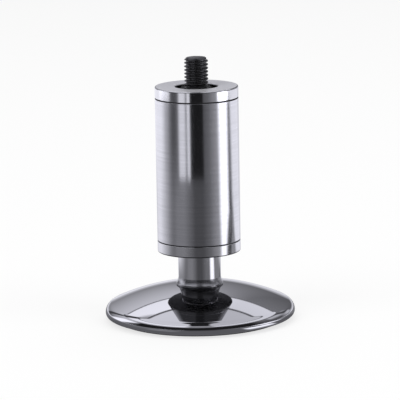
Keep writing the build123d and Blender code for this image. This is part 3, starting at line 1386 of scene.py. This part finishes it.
@dataclass
class InnerPieces:
    """The frame nodes that keep their own shape and only take a finish."""

    finishes: dict[str, Finish] = field(
        default_factory=lambda: {
            "guide_bush": NYLON,
            "thrust_washer": NYLON,
            "adjusting_nut": TURNED_STEEL,
            "spindle": PLATED_STEEL,
            "stop_washer": PLATED_STEEL,
            "stop_nut": PLATED_STEEL,
            "screw_washer": PLATED_STEEL,
            "base_screw": PLATED_STEEL,
        }
    )

    def build(self) -> list[Object]:
        """Give each of the nodes its finish.

        Returns:
            The nodes' objects.
        """
        made = []
        for name, finish in self.finishes.items():
            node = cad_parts[name]
            node.data.materials.clear()
            node.data.materials.append(finish.material())
            made.append(node)
        return made


@dataclass(frozen=True)
class Card:
    """A soft box, a sheet or a dark card, as a window of the tent's wall or of the sweep below it.

    Attributes:
        azimuth: Its two sides in degrees, 0 towards the camera and positive to the right.
        reach: Its two other edges: elevation in degrees in the tent, and on the sweep the
            distance from the axis in millimetres.
        level: Brightness, where 1 is white.
        soft: Width of its soft edges, sideways in degrees and along the reach.
        far: Its two sides at the upper or outer edge, where they differ.
    """

    azimuth: Pair
    reach: Pair
    level: float
    soft: Pair
    far: Optional[Pair] = None


class Painter(Coat):
    """Paints the brightness of a surface that only mirrors see, by direction round the axis.

    Attributes:
        TINT: Red, green and blue of the light, by the sockets' numbers.
    """

    TINT = {0: 0.925, 1: 0.925, 2: 1.0}

    def __init__(self, title: str) -> None:
        """Start an emission material.

        Args:
            title: Its name.
        """
        super().__init__(title)
        self.material.cycles.emission_sampling = "NONE"
        writer = self.writer
        tint = writer.add("ShaderNodeCombineColor", self.TINT)
        light = writer.add("ShaderNodeEmission", {"Color": tint.outputs[0]})
        self.swap_shader(light.outputs[0])
        parts = writer.add("ShaderNodeSeparateXYZ", {0: self.place()}).outputs
        squares = [writer.math("MULTIPLY", part, part) for part in parts[:2]]
        self.strength = light.inputs["Strength"]
        self.height = parts[2]
        self.distance = writer.math("SQRT", writer.math("ADD", *squares))
        forward = writer.math("MULTIPLY", parts[1], -1.0)
        self.azimuth = writer.math("DEGREES", writer.math("ARCTAN2", parts[0], forward))

    def hang(self, level: Socket, reach: Socket, cards: Sequence[Card]) -> Socket:
        """Hang cards in front of a background, each over those before it.

        Args:
            level: Brightness of the background.
            reach: Elevation in degrees, or distance from the axis in millimetres.
            cards: The cards.

        Returns:
            The brightness with the cards.
        """
        for card in cards:
            level = self.writer.mix(self.share(card, reach), level, card.level)
        return level

    def share(self, card: Card, reach: Socket) -> Socket:
        """How much of a card shows in each direction.

        Args:
            card: The card.
            reach: Elevation in degrees, or distance from the axis in millimetres.

        Returns:
            A socket that is 1 on the card and 0 beside it.
        """
        writer = self.writer
        side, up = card.soft[0] / 2, card.soft[1] / 2
        edges = []
        for line, far, ends in zip(card.azimuth, card.far or card.azimuth, (RISE, FALL)):
            if far != line:
                line = writer.remap(reach, card.reach, (line, far))
            edges.append(writer.remap(writer.math("SUBTRACT", self.azimuth, line), (-side, side), ends))
        for line, ends in zip(card.reach, (RISE, FALL)):
            edges.append(writer.remap(reach, (line - up, line + up), ends))
        inside = edges[0]
        for edge in edges[1:]:
            inside = writer.math("MULTIPLY", inside, edge)
        return inside


class TentPainter(Painter):
    """Paints the light tent by azimuth and elevation.

    Attributes:
        WALLS: Stretches of elevation from the horizon up, each with the brightness at its lower
            and upper end, on the left and on the right.
        BELOW: Brightness under the lowest stretch.
        WALL_EDGE: Half the height over which one stretch runs into the next, in degrees.
        TO_RIGHT: Sine of the azimuth where the left side turns into the right one.
        REPEAT_SIDES: Azimuth away from the camera at which repeats are dimmed most and least.
        REPEAT_SHARE: What is left there of a reflection of a reflection.
        LEAST: Brightness of the darkest repeat.
    """

    WALLS = (
        ((8.0, 34.5), (0.26, 0.64), (0.11, 0.20)),
        ((34.5, 35.7), (0.22, 0.22), (0.16, 0.16)),
        ((35.7, 47.8), (0.98, 1.02), (0.80, 0.76)),
        ((47.8, 49.4), (0.12, 0.12), (0.12, 0.12)),
        ((49.4, 90.0), (0.76, 0.66), (0.58, 0.52)),
    )
    BELOW = 0.2
    WALL_EDGE = 0.3
    TO_RIGHT = (-0.1, 0.24)
    REPEAT_SIDES = (95.0, 165.0)
    REPEAT_SHARE = (0.05, 0.62)
    LEAST = 0.014

    def paint(self, cards: Sequence[Card]) -> bpy.types.Material:
        """Paint the walls, the ceiling and the cards in front of them.

        Args:
            cards: The cards, by azimuth and elevation.

        Returns:
            The material.
        """
        slope = self.writer.math("ARCTAN2", self.height, self.distance)
        elevation = self.writer.math("DEGREES", slope)
        level = self.hang(self.walls(elevation), elevation, cards)
        self.writer.feed(self.strength, self.dim_repeats(level))
        return self.material

    def walls(self, elevation: Socket) -> Socket:
        """Brightness of the walls and the ceiling, by height and side.

        Args:
            elevation: Elevation in degrees.

        Returns:
            The brightness before the cards.
        """
        writer = self.writer
        sine = writer.math("SINE", writer.math("RADIANS", self.azimuth))
        right = writer.remap(sine, self.TO_RIGHT, RISE)
        level = self.BELOW
        for (low, high), left_ends, right_ends in self.WALLS:
            left_wall = writer.remap(elevation, (low, high), left_ends)
            right_wall = writer.remap(elevation, (low, high), right_ends)
            above = writer.remap(elevation, (low - self.WALL_EDGE, low + self.WALL_EDGE), RISE)
            level = writer.mix(above, level, writer.mix(right, left_wall, right_wall))
        return level

    def dim_repeats(self, level: Socket) -> Socket:
        """Dim what shows in a reflection of a reflection, most of all on the camera's side.

        Args:
            level: Brightness in a single reflection.

        Returns:
            The brightness for any reflection.
        """
        writer = self.writer
        depth = writer.add("ShaderNodeLightPath").outputs["Ray Depth"]
        # What is seen in a plain reflection has a ray depth of 1.
        again = writer.math("GREATER_THAN", depth, 1.5)
        side = writer.math("ABSOLUTE", self.azimuth)
        share = writer.remap(side, self.REPEAT_SIDES, self.REPEAT_SHARE)
        loss = writer.math("MULTIPLY", again, writer.math("SUBTRACT", 1.0, share))
        dimmed = writer.math("MULTIPLY", level, writer.math("SUBTRACT", 1.0, loss))
        return writer.math("MAXIMUM", dimmed, self.LEAST)


class SweepPainter(Painter):
    """Paints the table sweep by azimuth and distance from the axis.

    Attributes:
        NEAR: Distances in millimetres between which the bare table darkens.
        BARE: Its brightness at those two.
    """

    NEAR = (54.0, 72.0)
    BARE = (0.12, 0.08)

    def paint(self, mats: Sequence[Card]) -> bpy.types.Material:
        """Paint the bare table and the mats on it.

        Args:
            mats: The mats, by azimuth and distance.

        Returns:
            The material.
        """
        reach = self.writer.math("DIVIDE", self.distance, MM)
        bare = self.writer.remap(reach, self.NEAR, self.BARE)
        self.writer.feed(self.strength, self.hang(bare, reach, mats))
        return self.material


@dataclass
class Studio:
    """Pale floor, light tent, table sweep, lamps, world and camera.

    Attributes:
        tent_radius: Radius of the tent and of the sweep.
        sweep_drop: How far the sweep lies under the floor.
        floor_size: Side of the floor.
        floor_shade: Grey of the floor's matte surface.
        floor_glow: Share of plain white in what the camera sees of the floor.
        ambient: Strength of the world's even light.
        camera_distance: Distance of the camera from the axis, along the floor.
        camera_height: Height of the camera.
        aim_height: Height on the axis that the camera looks at.
        edge_middle: Height of the base's widest level.
        roll: Turn of the camera about its own line of sight, in degrees.
        base_pixels: Width of the base in the picture.
        centre_pixels: Where the aim point lies in the picture.
        lamps: Name, place, size and power of each area lamp.
        cards: What hangs in the tent, from back to front.
        mats: What lies on the sweep, from the lowest up.
    """

    tent_radius: float = 2.4
    sweep_drop: float = 0.2 * MM
    floor_size: float = 6.0
    floor_shade: float = 0.86
    floor_glow: float = 0.72
    ambient: float = 0.55
    camera_distance: float = 1.26
    camera_height: float = 0.295
    aim_height: float = 0.05
    edge_middle: float = 0.003
    roll: float = 1.0
    base_pixels: float = 189.0
    centre_pixels: Pair = (198.4, 201.0)
    lamps: tuple[tuple[str, tuple[float, float, float], float, float], ...] = (
        ("key_lamp", (-0.9, -0.7, 1.3), 1.1, 9.0),
        ("fill_lamp", (1.1, -0.5, 1.0), 1.0, 6.0),
        ("top_lamp", (0.1, 0.6, 1.6), 1.4, 9.0),
    )
    cards: tuple[Card, ...] = (
        Card((-190.0, -146.0), (-90.0, 5.0), 0.75, (8.0, 8.0)),
        Card((140.0, 190.0), (-90.0, 4.0), 0.75, (8.0, 8.0)),
        Card((95.0, 141.0), (4.0, 30.0), 0.55, (6.0, 5.0)),
        Card((66.0, 124.0), (-90.0, 18.0), 0.10, (16.0, 12.0)),
        Card((-90.0, 76.0), (-90.0, 31.0), 0.014, (20.0, 8.0)),
        Card((-18.0, 18.0), (29.0, 47.0), 0.26, (8.0, 5.0)),
        Card((-14.0, 13.0), (49.0, 76.0), 0.015, (6.0, 2.0), (-30.0, 24.0)),
        Card((-40.0, 30.0), (74.0, 95.0), 0.015, (16.0, 3.0), (-130.0, 110.0)),
        Card((-190.0, 190.0), (78.5, 95.0), 0.015, (4.0, 2.0)),
        Card((-138.0, -114.0), (-6.0, 25.0), 1.20, (7.0, 4.0), (-112.0, -84.0)),
        Card((-151.0, -142.0), (1.0, 34.0), 0.06, (4.0, 4.0), (-140.0, -128.0)),
        Card((-143.0, -124.0), (34.0, 48.5), 0.05, (7.0, 3.0), (-158.0, -124.0)),
        Card((126.0, 146.0), (16.0, 35.0), 0.08, (8.0, 4.0), (118.0, 132.0)),
    )
    mats: tuple[Card, ...] = (
        Card((-190.0, -96.0), (100.0, 9000.0), 0.92, (56.0, 100.0)),
        Card((-190.0, -98.0), (0.0, 95.0), 0.24, (40.0, 60.0)),
        Card((-190.0, -148.0), (60.0, 9000.0), 0.78, (8.0, 20.0)),
        Card((-74.0, -24.0), (60.0, 9000.0), 0.23, (30.0, 40.0)),
        Card((24.0, 62.0), (60.0, 9000.0), 0.17, (24.0, 40.0)),
        Card((-190.0, -108.0), (360.0, 9000.0), 1.0, (22.0, 160.0)),
        Card((-77.0, -54.0), (370.0, 9000.0), 0.09, (14.0, 200.0)),
        Card((-51.0, -32.0), (353.0, 9000.0), 0.80, (6.0, 12.0)),
        Card((-27.5, -19.5), (353.0, 9000.0), 0.85, (3.0, 12.0)),
        Card((-18.5, 16.5), (353.0, 9000.0), 0.012, (3.0, 12.0)),
        Card((113.0, 190.0), (120.0, 302.0), 0.95, (10.0, 60.0), (106.4, 190.0)),
        Card((106.0, 190.0), (278.0, 800.0), 0.95, (10.0, 60.0), (97.0, 190.0)),
        Card((44.0, 66.0), (140.0, 9000.0), 0.34, (22.0, 40.0)),
        Card((95.0, 190.0), (0.0, 90.0), 0.22, (8.0, 60.0)),
        Card((148.0, 190.0), (60.0, 9000.0), 0.75, (8.0, 20.0)),
        Card((84.0, 126.0), (60.0, 140.0), 0.24, (6.0, 12.0)),
        Card((94.0, 120.0), (128.0, 250.0), 0.30, (7.0, 30.0), (96.0, 106.0)),
        Card((84.0, 91.5), (130.0, 205.0), 0.05, (4.0, 8.0), (95.3, 102.0)),
        Card((98.0, 103.0), (198.0, 340.0), 0.05, (4.0, 10.0), (93.8, 97.0)),
        Card((94.0, 97.6), (336.0, 480.0), 0.20, (4.0, 10.0), (94.0, 97.0)),
        Card((57.0, 82.0), (60.0, 146.0), 1.30, (8.0, 12.0)),
        Card((62.0, 76.0), (140.0, 262.0), 1.50, (8.0, 12.0), (61.0, 90.0)),
        Card((61.0, 90.0), (250.0, 900.0), 1.50, (8.0, 12.0), (58.5, 91.0)),
        Card((32.0, 57.0), (42.0, 52.5), 1.25, (5.0, 4.0)),
        Card((60.0, 98.0), (640.0, 800.0), 4.5, (10.0, 20.0)),
        Card((-124.0, -80.0), (640.0, 800.0), 1.8, (10.0, 20.0)),
        Card((-40.0, -18.0), (46.0, 57.0), 0.26, (8.0, 4.0)),
        Card((94.5, 97.0), (476.0, 9000.0), 0.25, (5.0, 10.0)),
    )

    def build(self) -> None:
        """Set up everything that isn't the foot."""
        self.floor()
        self.tent()
        self.sweep()
        self.hang_lamps()
        self.world()
        self.camera()

    def floor(self) -> Object:
        """Lay the pale floor, white to the camera but for the foot's soft shadow.

        Returns:
            The staged floor.
        """
        half = self.floor_size / 2
        mesh = bpy.data.meshes.new("pale_floor")
        corners = [(-half, -half, 0), (half, -half, 0), (half, half, 0), (-half, half, 0)]
        mesh.from_pydata(corners, [], [(0, 1, 2, 3)])
        coat = Coat("pale_floor")
        writer = coat.writer
        grey = (self.floor_shade, self.floor_shade, self.floor_shade, 1.0)
        matte = writer.add("ShaderNodeBsdfDiffuse", {"Color": grey})
        glow = writer.add("ShaderNodeEmission", {"Color": WHITE, "Strength": 1.0})
        path = writer.add("ShaderNodeLightPath")
        seen = writer.math("MULTIPLY", path.outputs["Is Camera Ray"], self.floor_glow)
        mix = writer.add("ShaderNodeMixShader", {0: seen, 1: matte.outputs[0], 2: glow.outputs[0]})
        coat.swap_shader(mix.outputs[0])
        mesh.materials.append(coat.material)
        floor = self.set_down(mesh)
        floor.visible_glossy = False
        return floor

    def tent(self) -> Object:
        """Hang the light tent.

        Returns:
            The staged tent.
        """
        ball = bmesh.new()
        bmesh.ops.create_icosphere(ball, subdivisions=4, radius=self.tent_radius)
        bmesh.ops.reverse_faces(ball, faces=ball.faces)
        return self.mirror_only("light_tent", ball, TentPainter("light_tent").paint(self.cards))

    def sweep(self) -> Object:
        """Lay the table sweep.

        Returns:
            The staged sweep.
        """
        disc = bmesh.new()
        bmesh.ops.create_circle(disc, cap_ends=True, segments=64, radius=self.tent_radius)
        bmesh.ops.translate(disc, verts=disc.verts, vec=(0.0, 0.0, -self.sweep_drop))
        return self.mirror_only("table_sweep", disc, SweepPainter("table_sweep").paint(self.mats))

    def mirror_only(self, name: str, shape: bmesh.types.BMesh, material: bpy.types.Material) -> Object:
        """Place a studio object that shows in reflections and nowhere else.

        Args:
            name: Name of the object.
            shape: Its shape, which is freed.
            material: Its material.

        Returns:
            The staged object.
        """
        mesh = bpy.data.meshes.new(name)
        shape.to_mesh(mesh)
        shape.free()
        mesh.materials.append(material)
        stand = self.set_down(mesh)
        stand.visible_camera = False
        stand.visible_diffuse = False
        stand.visible_shadow = False
        stand.visible_transmission = False
        return stand

    @staticmethod
    def set_down(mesh: bpy.types.Mesh) -> Object:
        """Stage a studio object, which sinks with the base that stands on it at any height.

        Args:
            mesh: Its mesh, whose name it takes.

        Returns:
            The staged object.
        """
        stand = bpy.data.objects.new(mesh.name, mesh)
        bpy.context.scene.collection.objects.link(stand)
        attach(stand, Body.WASHER.value)
        return stand

    def hang_lamps(self) -> None:
        """Hang soft area lamps, which light the matte surfaces and cast the shadow."""
        middle = (cad_low + cad_high) / 2
        for name, place, size, power in self.lamps:
            lamp = bpy.data.lights.new(name, "AREA")
            lamp.shape = "DISK"
            lamp.size = size
            lamp.energy = power
            holder = bpy.data.objects.new(name, lamp)
            holder.location = place
            holder.rotation_euler = (middle - holder.location).to_track_quat("-Z", "Y").to_euler()
            holder.visible_camera = False
            holder.visible_glossy = False
            bpy.context.scene.collection.objects.link(holder)

    def world(self) -> None:
        """Set a soft even world, white where the camera or a mirror sees it."""
        world = bpy.data.worlds.new("soft_studio")
        world.use_nodes = True
        bpy.context.scene.world = world
        writer = NodeWriter(world.node_tree)
        path = writer.add("ShaderNodeLightPath").outputs
        seen = writer.math("MAXIMUM", path["Is Camera Ray"], path["Is Glossy Ray"])
        seen = writer.math("MAXIMUM", seen, path["Is Transmission Ray"])
        background = world.node_tree.nodes["Background"]
        background.inputs["Color"].default_value = WHITE
        writer.feed(background.inputs["Strength"], writer.remap(seen, RISE, (self.ambient, 1.0)))

    def camera(self) -> None:
        """Place the camera at the photograph's angle and frame the foot as it does."""
        data = bpy.data.cameras.new("photo_camera")
        holder = bpy.data.objects.new("photo_camera", data)
        bpy.context.scene.collection.objects.link(holder)
        holder.location = (0.0, -self.camera_distance, self.camera_height)
        aim = Vector((0.0, 0.0, self.aim_height))
        look = aim - holder.location
        turn = look.to_track_quat("-Z", "Y").to_matrix()
        roll = math.radians(self.roll)
        twist = Matrix.Rotation(-roll, 3, "Z")
        holder.rotation_euler = (turn @ twist).to_euler()
        base_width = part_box("base_dome")[1].x * 2
        base_middle = Vector((0.0, 0.0, self.edge_middle))
        depth = (base_middle - holder.location).dot(look.normalized())
        focal_pixels = self.base_pixels * depth / base_width
        data.sensor_width = 36.0
        data.lens = focal_pixels * data.sensor_width / IMAGE_SIDE
        data.shift_x = (IMAGE_SIDE / 2 - self.centre_pixels[0]) / IMAGE_SIDE
        data.shift_y = (self.centre_pixels[1] - IMAGE_SIDE / 2) / IMAGE_SIDE
        data.clip_start = 0.05
        data.clip_end = 20.0
        bpy.context.scene.camera = holder


def main() -> None:
    """Build the foot's looks and its studio in order, and report each piece."""
    logging.basicConfig(level=logging.INFO, format="%(name)s: %(message)s")
    bpy.context.scene.view_settings.view_transform = "Standard"
    lathe = LatheTree()
    pieces = Column(lathe, Body.LEG, ThreadTree()).build()
    pieces += Pedestal(lathe, Body.FOOT, SpokeTree()).build()
    pieces += InnerPieces().build()
    for piece in pieces:
        LOG.info("%s: %d faces", piece.name, len(piece.data.polygons))
    Studio().build()


if __name__ == "__main__":
    main()
